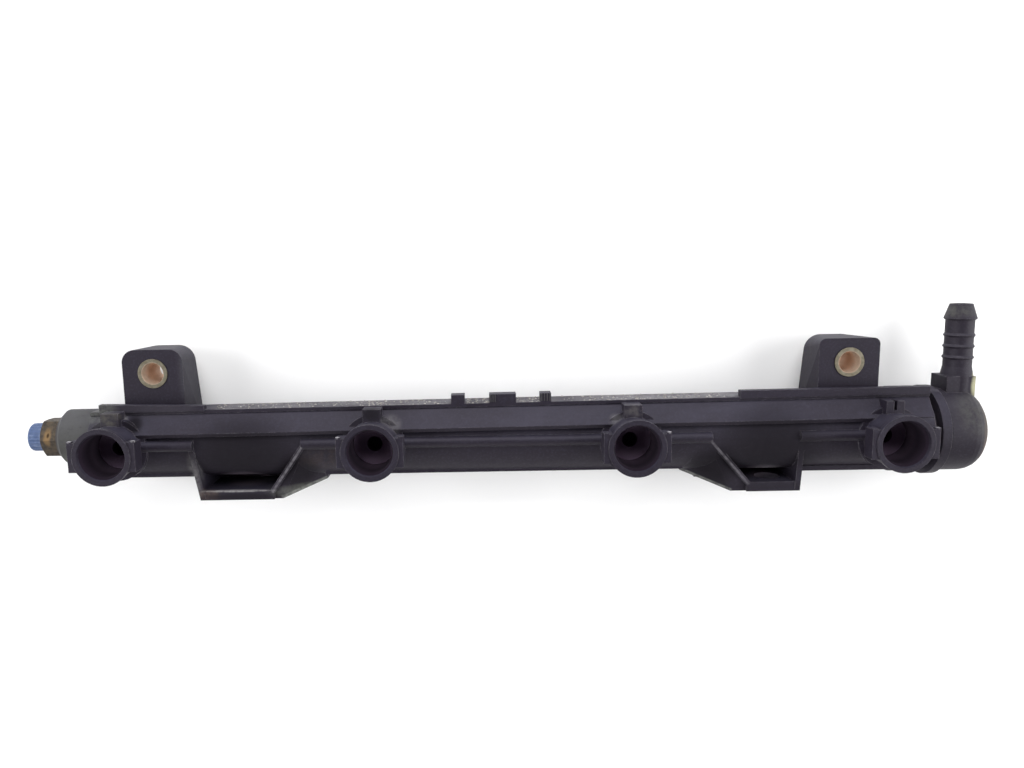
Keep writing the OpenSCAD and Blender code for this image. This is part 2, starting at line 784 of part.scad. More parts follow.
// The cap that screws over the valve's neck
module dust_cap() {
    mouth = boss_x - hex_len - dust_cap_gap;
    end = mouth - dust_cap_len;
    r = dust_cap_d / 2;
    inner = neck_d / 2 + slide_gap;
    color("#2f63c8") from_cup_line() turned_x(valve_rise) polygon([
        [0, end], [r - dust_cap_end_t, end], [r, end + dust_cap_end_t], [r, mouth],
        [inner, mouth], [inner, end + dust_cap_end_t], [0, end + dust_cap_end_t]
    ]);
}

// Rubber washer in the cap, which seals on the end of the neck
module dust_cap_liner() {
    color("#1b1b1d") from_cup_line()
        rod_x(neck_mouth - liner_t + liner_gap / 2, neck_mouth - liner_gap / 2,
            neck_d / 2 - slide_gap, valve_rise, gallery_z);
}

rail_body();
left_bush();
right_bush();
inlet_elbow();
inlet_seal();
test_valve_body();
test_valve_seal();
core_barrel();
core_barrel_seal();
core_pin();
core_pin_seal();
core_spring();
dust_cap();
dust_cap_liner();
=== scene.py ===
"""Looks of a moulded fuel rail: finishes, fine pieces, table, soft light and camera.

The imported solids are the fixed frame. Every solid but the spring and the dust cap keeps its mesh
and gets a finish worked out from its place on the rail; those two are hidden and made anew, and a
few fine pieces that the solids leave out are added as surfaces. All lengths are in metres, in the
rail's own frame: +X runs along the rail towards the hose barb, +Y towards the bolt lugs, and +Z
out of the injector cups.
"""

from __future__ import annotations

import json
import logging
import math
from dataclasses import dataclass, field
from enum import Enum
from typing import Dict, List, Optional, Sequence, Tuple, Union

import bpy
import numpy as np
from mathutils import Matrix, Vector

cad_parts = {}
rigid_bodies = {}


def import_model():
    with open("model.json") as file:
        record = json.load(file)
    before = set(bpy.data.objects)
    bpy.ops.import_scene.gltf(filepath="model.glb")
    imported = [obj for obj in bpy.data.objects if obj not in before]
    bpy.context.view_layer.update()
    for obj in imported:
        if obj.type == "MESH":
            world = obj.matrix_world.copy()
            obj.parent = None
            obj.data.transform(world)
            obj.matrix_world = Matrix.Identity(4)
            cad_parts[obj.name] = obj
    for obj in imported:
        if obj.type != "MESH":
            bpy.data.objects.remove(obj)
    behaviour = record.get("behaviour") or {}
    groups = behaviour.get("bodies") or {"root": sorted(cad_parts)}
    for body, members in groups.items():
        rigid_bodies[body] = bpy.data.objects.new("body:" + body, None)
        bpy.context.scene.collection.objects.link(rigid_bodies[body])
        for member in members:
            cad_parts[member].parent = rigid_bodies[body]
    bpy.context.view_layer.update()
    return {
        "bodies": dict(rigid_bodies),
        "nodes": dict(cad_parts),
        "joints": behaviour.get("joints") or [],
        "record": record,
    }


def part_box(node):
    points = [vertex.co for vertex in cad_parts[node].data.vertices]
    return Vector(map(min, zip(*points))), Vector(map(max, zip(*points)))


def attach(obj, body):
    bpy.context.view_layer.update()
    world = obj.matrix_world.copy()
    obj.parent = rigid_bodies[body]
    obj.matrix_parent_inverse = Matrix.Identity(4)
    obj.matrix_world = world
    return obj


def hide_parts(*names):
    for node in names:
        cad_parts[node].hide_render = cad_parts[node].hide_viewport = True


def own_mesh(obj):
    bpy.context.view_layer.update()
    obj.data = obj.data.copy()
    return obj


LOG = logging.getLogger("fuel_rail")

MM = 0.001
# The cups' axes lie on this Y. The gallery, the elbow's cap and the valve share this Z.
CUP_LINE = -24.3 * MM
AXIS_Z = -5.2 * MM
# How far an edge bends where its edge colour starts, and where it is full; on the moulding that colour is
# wear and a painted highlight in one.
EDGE_BEND = (0.004, 0.12)
EDGE_SAMPLES = 6
DULLEST = 0.95

Colour = Tuple[float, float, float]
Point = Tuple[float, float, float]
Socket = bpy.types.NodeSocket


class Body(Enum):
    """The bodies that the added pieces ride on."""

    RAIL = "rail"
    VALVE_CAP = "valve_cap"


class Num:
    """A number that varies over a surface, as the output of a node.

    Arithmetic on it adds Math nodes to the sheet that it belongs to.
    """

    def __init__(self, sheet: "NodeSheet", socket: Socket) -> None:
        """Wraps one output of a sheet of nodes."""
        self.sheet = sheet
        self.socket = socket

    def _math(self, operation: str, *values: "Value") -> "Num":
        """Adds one Math node with these inputs, and gives its result."""
        node = self.sheet.add("ShaderNodeMath", {"operation": operation}, dict(enumerate(values)))
        return Num(self.sheet, node.outputs[0])

    def __add__(self, other: "Value") -> "Num":
        """Sum."""
        return self._math("ADD", self, other)

    __radd__ = __add__

    def __sub__(self, other: "Value") -> "Num":
        """Difference."""
        return self._math("SUBTRACT", self, other)

    def __rsub__(self, other: "Value") -> "Num":
        """Difference from a plain number."""
        return self._math("SUBTRACT", other, self)

    def __mul__(self, other: "Value") -> "Num":
        """Product."""
        return self._math("MULTIPLY", self, other)

    __rmul__ = __mul__

    def __truediv__(self, other: "Value") -> "Num":
        """Quotient."""
        return self._math("DIVIDE", self, other)

    def __pow__(self, other: "Value") -> "Num":
        """Power."""
        return self._math("POWER", self, other)

    def sized(self) -> "Num":
        """The number without its sign."""
        return self._math("ABSOLUTE", self)

    def root(self) -> "Num":
        """The square root."""
        return self._math("SQRT", self)

    def least(self, other: "Value") -> "Num":
        """The smaller of two numbers."""
        return self._math("MINIMUM", self, other)

    def most(self, other: "Value") -> "Num":
        """The larger of two numbers."""
        return self._math("MAXIMUM", self, other)

    def rise(self, low: float, high: float) -> "Num":
        """A smooth step that is 0 below one level and 1 above the other.

        Args:
            low: where the step starts.
            high: where it ends. A high below low turns the step round.

        Returns:
            The step, between 0 and 1.
        """
        start, end, first, last = (low, high, 0.0, 1.0) if high > low else (high, low, 1.0, 0.0)
        node = self.sheet.add(
            "ShaderNodeMapRange",
            {"interpolation_type": "SMOOTHSTEP", "clamp": True},
            {"Value": self, "From Min": start, "From Max": end, "To Min": first, "To Max": last},
        )
        return Num(self.sheet, node.outputs[0])


Value = Union[Num, float, int]
Input = Union[Num, Socket, float, int, Sequence[float]]


def opaque(value: Input) -> Input:
    """A plain colour with an alpha of 1, and anything else as it is."""
    return (*value, 1.0) if isinstance(value, tuple) and len(value) == 3 else value


@dataclass(frozen=True)
class Grain:
    """Cloudy noise: the size of its clouds, its finer layers, their strength and its stretch."""

    size: float
    detail: float = 3.0
    rough: float = 0.55
    stretch: Point = (1, 1, 1)


class NodeSheet:
    """The nodes of one material or of the world, with short ways to add them."""

    def __init__(self, owner: Union[bpy.types.Material, bpy.types.World], output: str) -> None:
        """Starts with an output and nothing else.

        Args:
            owner: the material or the world.
            output: the type of its output node.
        """
        self.owner = owner
        owner.use_nodes = True
        self.tree = owner.node_tree
        self.tree.nodes.clear()
        self.output = self.tree.nodes.new(output)
        self._place: Optional[Socket] = None

    @classmethod
    def material(cls, name: str) -> "NodeSheet":
        """Starts a new material with this name."""
        return cls(bpy.data.materials.new(name), "ShaderNodeOutputMaterial")

    def add(
        self, kind: str, settings: Dict[str, object], inputs: Dict[object, Input]
    ) -> bpy.types.Node:
        """Adds one node.

        Args:
            kind: the node's type.
            settings: properties that are set before its inputs.
            inputs: values or links by the name or the number of the socket.

        Returns:
            The node.
        """
        node = self.tree.nodes.new(kind)
        for key, value in settings.items():
            setattr(node, key, value)
        for key, value in inputs.items():
            socket = node.inputs[key]
            if isinstance(value, Num):
                self.tree.links.new(value.socket, socket)
            elif isinstance(value, Socket):
                self.tree.links.new(value, socket)
            else:
                socket.default_value = value
        return node

    def place(self) -> Socket:
        """The place on the object, in metres."""
        if self._place is None:
            self._place = self.add("ShaderNodeTexCoord", {}, {}).outputs["Object"]
        return self._place

    def parts(self, vector: Socket) -> Tuple[Num, Num, Num]:
        """The X, Y and Z of the vector that an output holds."""
        split = self.add("ShaderNodeSeparateXYZ", {}, {0: vector})
        return tuple(Num(self, split.outputs[i]) for i in range(3))

    def normal(self) -> Tuple[Num, Num, Num]:
        """The parts of the surface's own normal."""
        return self.parts(self.add("ShaderNodeNewGeometry", {}, {}).outputs["True Normal"])

    def noise(self, grain: Grain) -> Num:
        """Cloudy noise between 0 and 1.

        Args:
            grain: the size and the kind of its clouds.

        Returns:
            The noise.
        """
        scale = [1 / (grain.size * stretch) for stretch in grain.stretch]
        mapped = self.add("ShaderNodeMapping", {}, {"Vector": self.place(), "Scale": scale})
        layers = {"Scale": 1.0, "Detail": grain.detail, "Roughness": grain.rough}
        node = self.add("ShaderNodeTexNoise", {}, {"Vector": mapped.outputs[0], **layers})
        return Num(self, node.outputs["Fac"])

    def mix(self, first: Input, second: Input, share: Value) -> Socket:
        """Mixes two colours.

        Args:
            first: the colour where the share is 0.
            second: the colour where the share is 1.
            share: how much of the second one shows.

        Returns:
            The mixed colour.
        """
        inputs = {0: share, 6: opaque(first), 7: opaque(second)}
        node = self.add("ShaderNodeMix", {"data_type": "RGBA"}, inputs)
        return node.outputs[2]

    def spot(self, centre: Point, reach: Point) -> Num:
        """A soft ellipsoid: 1 at its centre, 0 from its edge outwards.

        Args:
            centre: its middle.
            reach: its half lengths along the three axes.

        Returns:
            The mask.
        """
        x, y, z = self.parts(self.place())
        far = None
        for axis, middle, half in zip((x, y, z), centre, reach):
            part = ((axis - middle) / half) ** 2
            far = part if far is None else far + part
        return far.rise(1.0, 0.0)

    def rounded(self, radius: float) -> Socket:
        """The normal as if every edge had this small radius."""
        return self.add("ShaderNodeBevel", {"samples": EDGE_SAMPLES}, {"Radius": radius}).outputs[0]

    def edges(self, smooth: Socket) -> Num:
        """Where the surface bends sharply: 1 on an edge, 0 on a flat.

        Args:
            smooth: the rounded normal.

        Returns:
            The mask, one less the dot product of the rounded normal and the true one.
        """
        true = self.add("ShaderNodeNewGeometry", {}, {}).outputs["True Normal"]
        dot = self.add("ShaderNodeVectorMath", {"operation": "DOT_PRODUCT"}, {0: smooth, 1: true})
        return (1.0 - Num(self, dot.outputs["Value"])).rise(*EDGE_BEND)

    def bump(self, height: Num, depth: float, normal: Socket) -> Socket:
        """A normal that starts from another and follows heights, as shares of the depth."""
        inputs = {"Height": height, "Distance": depth, "Strength": 1.0, "Normal": normal}
        return self.add("ShaderNodeBump", {}, inputs).outputs[0]

    def close(self, inputs: Dict[object, Input]) -> bpy.types.Material:
        """Adds the shader and joins it to the output.

        Args:
            inputs: values or links of the shader's sockets.

        Returns:
            The finished material.
        """
        inputs = {socket: opaque(value) for socket, value in inputs.items()}
        shader = self.add("ShaderNodeBsdfPrincipled", {}, inputs)
        self.tree.links.new(shader.outputs[0], self.output.inputs[0])
        return self.owner


@dataclass(frozen=True)
class StainOrPaintedLight:
    """One dirty or worn place, or one patch of painted shade, shadow, highlight or light, as a soft
    ellipsoid.

    It breaks up round its patchy level of the mottle, and over_wear says that it also covers
    the worn edges.
    """

    centre: Point
    reach: Point
    colour: Colour
    share: float
    patchy: float = 0.5
    over_wear: bool = False


@dataclass(frozen=True)
class Streak:
    """A painted highlight: a light line across the faces that look along +Z, from one place to another."""

    start: Tuple[float, float]
    end: Tuple[float, float]
    half_width: float
    colour: Colour
    share: float
    depth: Tuple[float, float] = (-30 * MM, 30 * MM)


@dataclass(frozen=True)
class DustyPlate:
    """The upper face of the spine and the runs of it that carry light dust."""

    level: float
    rise: float
    level_x: float
    front: float
    runs: Tuple[Tuple[float, float, float], ...]
    run_fade: float = 7 * MM
    thin: float = 0.15


@dataclass(frozen=True)
class Wells:
    """The round wells of the cups, with a dull film that is painted lighter deep down: painted light
    against the shade in the wells.
    """

    places: Tuple[float, ...]
    line: float
    radius: float
    mouth: float
    lead_in: float = 0.8 * MM
    unworn: float = 0.9 * MM
    painted_light_depth: Tuple[float, float] = (5 * MM, 13 * MM)
    border: float = 0.35 * MM
    # painted light: the colour grows lighter from the wall through the film to the floor, against the
    # shade deep in the wells
    wall: Colour = (0.0100, 0.0055, 0.0115)
    film: Colour = (0.085, 0.060, 0.090)
    floor: Colour = (0.27, 0.195, 0.29)


@dataclass(frozen=True)
class Moulding:
    """Black moulded plastic with dust on its upper faces, worn edges that also carry a painted highlight,
    single stained places, patches of painted shade and light, and wells painted lighter deep down.
    """

    name: str
    base: Colour = (0.0096, 0.0070, 0.0125)
    grey: Colour = (0.033, 0.031, 0.048)
    dust: Colour = (0.19, 0.185, 0.195)
    # worn grey on the edges; on the moulding it also stands in for the light that the edges catch, a
    # painted highlight
    worn: Colour = (0.20, 0.19, 0.21)
    specular: float = 0.24
    specular_tint: Colour = (0.95, 0.91, 1.0)
    edge_radius: float = 0.35 * MM
    relief: float = 0.06 * MM
    cloud: Grain = Grain(14 * MM, 4.0, 0.6, (2.2, 1, 1))
    mottle: Grain = Grain(2.2 * MM, 4.0, 0.65)
    fine: Grain = Grain(0.35 * MM, 3.0, 0.6)
    speck: Grain = Grain(0.7 * MM, 2.0, 0.5)
    long_cloud: Grain = Grain(6 * MM, 4.0, 0.7, (3, 1, 1))
    speck_share: float = 0.22
    wear_and_highlight_share: Tuple[float, float] = (0.12, 0.34)
    rough: float = 0.44
    stain_and_light_rough: float = 0.35
    dust_rough: float = 0.4
    stains_and_painted_light: Tuple[StainOrPaintedLight, ...] = ()
    streaks: Tuple[Streak, ...] = ()
    dusty_plate: Optional[DustyPlate] = None
    wells: Optional[Wells] = None

    def build(self) -> bpy.types.Material:
        """Makes the material.

        Returns:
            The material, with its colour, gloss and relief worked out from the place.
        """
        sheet = NodeSheet.material(self.name)
        smooth = sheet.rounded(self.edge_radius)
        cloud, mottle, fine = (sheet.noise(grain) for grain in (self.cloud, self.mottle, self.fine))
        colour = self._film(sheet, cloud, mottle)
        rough: Value = self.rough + mottle * 0.18 + cloud * 0.06
        # stained places and patches of painted shade, shadow, highlight and light, laid under the worn
        # edges
        for stain_or_light in (stain_or_light for stain_or_light in self.stains_and_painted_light if not stain_or_light.over_wear):
            share = self._patch_share(sheet, stain_or_light, mottle)
            colour = sheet.mix(colour, stain_or_light.colour, share)
            rough = rough + share * self.stain_and_light_rough
        # painted highlights: light lines along edges of the brackets
        for streak in self.streaks:
            share = self._along(sheet, streak) * (0.45 + mottle.rise(0.4, 0.6) * 0.55)
            colour = sheet.mix(colour, streak.colour, share)
        # worn edges, which also serve as a painted highlight
        colour = sheet.mix(colour, self.worn, self._wear_and_painted_highlight(sheet, smooth, mottle, fine))
        # patches laid over the worn edges: painted shade at the boss's end, painted highlights on the
        # nubs, and lighter rings
        for stain_or_light in (stain_or_light for stain_or_light in self.stains_and_painted_light if stain_or_light.over_wear):
            colour = sheet.mix(colour, stain_or_light.colour, self._patch_share(sheet, stain_or_light, mottle))
        if self.wells is not None:
            # the wells' film, painted lighter deep down as painted light
            film, inside = self._well_film_and_painted_light(sheet, self.wells)
            colour = sheet.mix(colour, film, inside)
            rough = rough + inside * self.dust_rough
        if self.dusty_plate is not None:
            share = self._plate_dust(sheet, self.dusty_plate, mottle, fine)
            colour = sheet.mix(colour, self.dust, share)
            rough = rough + share * self.dust_rough
        return sheet.close(
            {
                "Base Color": colour,
                "Roughness": rough.least(DULLEST),
                "Normal": sheet.bump(mottle * 0.35 + fine * 0.25, self.relief, smooth),
                "Specular IOR Level": self.specular,
                "Specular Tint": self.specular_tint,
            }
        )

    def _film(self, sheet: NodeSheet, cloud: Num, mottle: Num) -> Socket:
        """The plastic under a thin grey film, thicker on its upper faces, and fine specks.

        Args:
            sheet: the material's nodes.
            cloud: noise of a centimetre or more.
            mottle: noise of a few millimetres.

        Returns:
            The colour.
        """
        _, up, _ = sheet.normal()
        settled = up.rise(-0.35, 0.75)
        film = (0.25 + cloud.rise(0.35, 0.8) * 0.5 + mottle.rise(0.45, 0.75) * 0.25) * settled
        colour = sheet.mix(self.base, self.grey, film)
        specks = sheet.noise(self.speck).rise(0.48, 0.68)
        return sheet.mix(colour, self.grey, specks * self.speck_share)

    def _wear_and_painted_highlight(self, sheet: NodeSheet, smooth: Socket, mottle: Num, fine: Num) -> Num:
        """The wear along the edges, which also serves as a painted highlight on them, broken up by noise
        and left off the mouths of the wells.

        Args:
            sheet: the material's nodes.
            smooth: the rounded normal.
            mottle: noise of a few millimetres.
            fine: finer noise.

        Returns:
            The share of the worn colour.
        """
        wear = sheet.edges(smooth) * (0.3 + fine.rise(0.42, 0.62) * 0.7)
        if self.wells is not None:
            wear = wear * (1.0 - self._in_wells(sheet, self.wells, self.wells.unworn))
        least, patchy = self.wear_and_highlight_share
        return wear * (least + mottle.rise(0.4, 0.6) * patchy)

    @staticmethod
    def _patch_share(sheet: NodeSheet, stain_or_light: StainOrPaintedLight, mottle: Num) -> Num:
        """The share of one stained or painted patch: its ellipsoid, broken up by the mottle."""
        broken = mottle.rise(stain_or_light.patchy - 0.22, stain_or_light.patchy + 0.18)
        return sheet.spot(stain_or_light.centre, stain_or_light.reach) * broken * stain_or_light.share

    def _well_film_and_painted_light(self, sheet: NodeSheet, wells: Wells) -> Tuple[Socket, Num]:
        """The film in the wells, which is painted lighter with the depth and lightest on the floors:
        painted light against the shade in the wells.

        Args:
            sheet: the material's nodes.
            wells: the wells.

        Returns:
            Its colour, and the mask of what lies below the mouths.
        """
        _, _, z = sheet.parts(sheet.place())
        _, _, out = sheet.normal()
        start, end = wells.painted_light_depth
        wall = sheet.mix(wells.wall, wells.film, z.rise(wells.mouth - start, wells.mouth - end))
        colour = sheet.mix(wall, wells.floor, out.rise(0.5, 0.9))
        below = z.rise(wells.mouth - 0.05 * MM, wells.mouth - 0.3 * MM)
        return colour, self._in_wells(sheet, wells, wells.lead_in) * below

    @staticmethod
    def _along(sheet: NodeSheet, streak: Streak) -> Num:
        """The mask of a streak.

        It is 1 near the line between the streak's ends, where the face looks along +Z and the
        place is in its range of depths. The distance from the line is taken across it, and its
        length is cut off softly at both ends.

        Args:
            sheet: the material's nodes.
            streak: the streak.

        Returns:
            The mask, times the streak's share.
        """
        x, y, z = sheet.parts(sheet.place())
        _, _, out = sheet.normal()
        (x0, y0), (x1, y1) = streak.start, streak.end
        length = math.hypot(x1 - x0, y1 - y0)
        ux, uy = (x1 - x0) / length, (y1 - y0) / length
        far = (x - x0) * ux + (y - y0) * uy
        off = ((y - y0) * ux - (x - x0) * uy).sized()
        soft = streak.half_width * 0.5
        mask = off.rise(streak.half_width + soft, streak.half_width - soft)
        mask = mask * far.rise(-soft, soft) * far.rise(length + soft, length - soft)
        low, high = streak.depth
        mask = mask * z.rise(low - soft, low + soft) * z.rise(high + soft, high - soft)
        faces_out = out.rise(0.35, 0.7)
        return mask * faces_out * streak.share

    @staticmethod
    def _in_wells(sheet: NodeSheet, wells: Wells, margin: float) -> Num:
        """The mask of the wells: 1 inside the radius of any of their axes.

        Args:
            sheet: the material's nodes.
            wells: the wells.
            margin: how far the mask reaches beyond the radius.

        Returns:
            The mask.
        """
        x, y, _ = sheet.parts(sheet.place())
        near: Optional[Num] = None
        for place in wells.places:
            away = (x - place).sized()
            near = away if near is None else near.least(away)
        away = (near ** 2 + (y - wells.line) ** 2).root() - margin
        return away.rise(wells.radius + wells.border, wells.radius)

    def _plate_dust(self, sheet: NodeSheet, plate: DustyPlate, mottle: Num, fine: Num) -> Num:
        """Light dust on the upper face of the spine.

        It lies where the face looks along +Y, the place is on the sloping line of the plate
        and behind its front edge. It is broken up by noise, and each run has its own share and
        fades out at both ends.

        Args:
            sheet: the material's nodes.
            plate: where the plate lies.
            mottle: noise of a few millimetres.
            fine: finer noise.

        Returns:
            The share of dust.
        """
        x, y, z = sheet.parts(sheet.place())
        _, up, _ = sheet.normal()
        above = y - (x - plate.level_x) * plate.rise - plate.level
        fade = plate.run_fade
        cover: Optional[Num] = None
        for start, end, share in plate.runs:
            run = x.rise(start, start + fade) * x.rise(end, end - fade) * share
            cover = run if cover is None else cover.most(run)
        faces_up = up.rise(0.7, 0.95)
        on_plate = faces_up * above.sized().rise(0.5 * MM, 0.25 * MM)
        on_plate = on_plate * z.rise(plate.front + 0.3 * MM, plate.front)
        patchy = (sheet.noise(self.long_cloud) * 0.5 + mottle * 0.5).rise(0.40, 0.56)
        return (on_plate * (plate.thin + cover) * (patchy * 0.85 + fine * 0.12)).least(1.0)


@dataclass(frozen=True)
class RustyBores:
    """Two bores along Z whose walls are rusty, and painted lighter deep down: painted light coming in
    through the back of each bore.
    """

    places: Tuple[float, float]
    radius: float
    mouth: float
    colour: Colour
    # painted light: the lighter colour deep in the bores
    deep: Colour
    fade: Tuple[float, float] = (0.5 * MM, 7 * MM)


@dataclass(frozen=True)
class Metal:
    """A metal with a turned or plated surface and dirt or rust in places."""

    name: str
    bright: Colour
    dull: Colour
    grime: Colour
    rough: float
    grime_share: float
    bores: Optional[RustyBores] = None
    stains_and_painted_light: Tuple[StainOrPaintedLight, ...] = ()
    edge_radius: float = 0.15 * MM
    relief: float = 0.03 * MM
    cloud: Grain = Grain(1.6 * MM, 4.0, 0.6)
    fine: Grain = Grain(0.25 * MM, 3.0, 0.6)

    def build(self) -> bpy.types.Material:
        """Makes the material.

        Returns:
            The material, with dirt in patches, bright edges, its stained places and its rusty bores,
            painted lighter deep down.
        """
        sheet = NodeSheet.material(self.name)
        smooth = sheet.rounded(self.edge_radius)
        cloud, fine = sheet.noise(self.cloud), sheet.noise(self.fine)
        colour = sheet.mix(self.bright, self.dull, cloud.rise(0.3, 0.75))
        dirt = (cloud * 0.5 + fine * 0.5).rise(0.5, 0.68) * self.grime_share
        colour = sheet.mix(colour, self.grime, dirt)
        colour = sheet.mix(colour, self.bright, sheet.edges(smooth) * 0.6)
        for stain_or_light in self.stains_and_painted_light:
            share = sheet.spot(stain_or_light.centre, stain_or_light.reach) * stain_or_light.share
            colour = sheet.mix(colour, stain_or_light.colour, share)
        metallic: Value = 1.0 - dirt * 0.8
        rough: Value = self.rough + cloud * 0.2 + dirt * 0.35
        if self.bores is not None:
            # rust in the bores, painted lighter deep down as painted light
            rust, inside = self._rust_and_painted_light(sheet, self.bores)
            colour = sheet.mix(colour, rust, inside * (0.65 + fine.rise(0.35, 0.65) * 0.3))
            metallic = metallic * (1.0 - inside * 0.75)
            rough = rough + inside * 0.25
        return sheet.close(
            {
                "Base Color": colour,
                "Metallic": metallic,
                "Roughness": rough.least(DULLEST),
                "Normal": sheet.bump(cloud * 0.4 + fine * 0.3, self.relief, smooth),
            }
        )

    @staticmethod
    def _rust_and_painted_light(sheet: NodeSheet, bores: RustyBores) -> Tuple[Socket, Num]:
        """The rust in the bores, painted lighter deep down as painted light.

        Args:
            sheet: the material's nodes.
            bores: the bores.

        Returns:
            Its colour, and a mask that is 1 inside the radius of either axis.
        """
        x, y, z = sheet.parts(sheet.place())
        left, right = bores.places
        near = (x - left).sized().least((x - right).sized())
        start, end = bores.fade
        colour = sheet.mix(bores.colour, bores.deep, z.rise(bores.mouth - start, bores.mouth - end))
        away = (near ** 2 + y ** 2).root()
        return colour, away.rise(bores.radius + 0.25 * MM, bores.radius + 0.02 * MM)


@dataclass(frozen=True)
class Soft:
    """Rubber or plain plastic with a fine grain."""

    name: str
    base: Colour
    tint: Colour
    rough: float
    scuff: Colour = (0.5, 0.5, 0.5)
    scuff_share: float = 0.0
    edge_radius: float = 0.12 * MM
    relief: float = 0.03 * MM
    cloud: Grain = Grain(1.5 * MM, 4.0, 0.6)
    fine: Grain = Grain(0.2 * MM, 3.0, 0.6)

    def build(self) -> bpy.types.Material:
        """Makes the material.

        Returns:
            The material, scuffed along its edges if it has a scuff share.
        """
        sheet = NodeSheet.material(self.name)
        smooth = sheet.rounded(self.edge_radius)
        cloud, fine = sheet.noise(self.cloud), sheet.noise(self.fine)
        colour = sheet.mix(self.base, self.tint, cloud.rise(0.3, 0.75))
        if self.scuff_share:
            wear = (sheet.edges(smooth) * 0.7 + cloud.rise(0.55, 0.75) * 0.5).least(1.0)
            colour = sheet.mix(colour, self.scuff, wear * self.scuff_share)
        return sheet.close(
            {
                "Base Color": colour,
                "Roughness": (self.rough + fine * 0.15).least(DULLEST),
                "Normal": sheet.bump(cloud * 0.3 + fine * 0.3, self.relief, smooth),
            }
        )


@dataclass(frozen=True)
class Table:
    """A white table with the faintest mottle."""

    name: str = "white_table"
    base: Colour = (0.93, 0.93, 0.93)
    tint: Colour = (0.90, 0.90, 0.905)
    cloud: Grain = Grain(60 * MM)
    rough: float = 0.55
    specular: float = 0.25

    def build(self) -> bpy.types.Material:
        """Makes the table's material."""
        sheet = NodeSheet.material(self.name)
        cloud = sheet.noise(self.cloud)
        colour = sheet.mix(self.base, self.tint, cloud)
        rough = self.rough + cloud * 0.1
        return sheet.close(
            {"Base Color": colour, "Roughness": rough, "Specular IOR Level": self.specular})


def dress(node: bpy.types.Object, material: bpy.types.Material) -> None:
    """Gives an object one material.

    Args:
        node: the object.
        material: what it gets in all its slots.
    """
    if not node.material_slots:
        node.data.materials.append(material)
    for slot in node.material_slots:
        slot.material = material


def mesh_piece(
    name: str, points: np.ndarray, faces: Sequence[Sequence[int]], body: Body,
    material: bpy.types.Material
) -> bpy.types.Object:
    """Makes a piece from points and faces and lets it ride.

    Args:
        name: the piece's name.
        points: its points, one row each.
        faces: the numbers of the points around each face, outside seen anticlockwise.
        body: the body that it moves with.
        material: what it is made of.

    Returns:
        The piece.
    """
    mesh = bpy.data.meshes.new(name)
    mesh.from_pydata(points.tolist(), [], [list(f) for f in faces])
    mesh.validate()
    mesh.update()
    mesh.materials.append(material)
    piece = bpy.data.objects.new(name, mesh)
    bpy.context.scene.collection.objects.link(piece)
    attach(piece, body.value)
    LOG.info("%s: %d points, %d faces", name, len(points), len(faces))
    return piece


def revolved(
    radii: np.ndarray, places: np.ndarray, count: int, flutes: np.ndarray
) -> Tuple[np.ndarray, List[Tuple[int, ...]]]:
    """A closed profile turned about an axis along X.

    The point of row i at angle a is (x_i, r_i(a) cos a, r_i(a) sin a), where r_i(a) is the
    row's radius less its share of the flutes. The first and last rows lie on the axis.

    Args:
        radii: the radius of each row, zero at both ends.
        places: the place of each row along X.
        count: the points around.
        flutes: the depth taken off each row at each angle.

    Returns:
        The points and the faces.
    """
    angle = np.arange(count) * 2 * np.pi / count
    rings = radii[1:-1, None] - flutes[1:-1]
    x = np.broadcast_to(places[1:-1, None], rings.shape)
    grid = np.stack([x, rings * np.cos(angle), rings * np.sin(angle)], axis=-1).reshape(-1, 3)
    poles = np.array([[places[0], 0, 0], [places[-1], 0, 0]])
    points = np.vstack([grid, poles])
    rows = len(radii) - 2
    first = np.arange((rows - 1) * count).reshape(rows - 1, count)
    beside = np.roll(first, -1, axis=1)
    quads = np.stack([first, first + count, beside + count, beside], axis=-1).reshape(-1, 4)
    around = np.arange(count)
    onward = np.roll(around, -1)
    start, end = len(grid), len(grid) + 1
    near = np.stack([np.full(count, start), around, onward], axis=-1)
    last = (rows - 1) * count
    far = np.stack([np.full(count, end), last + onward, last + around], axis=-1)
    return points, [tuple(q) for q in quads.tolist() + near.tolist() + far.tolist()]


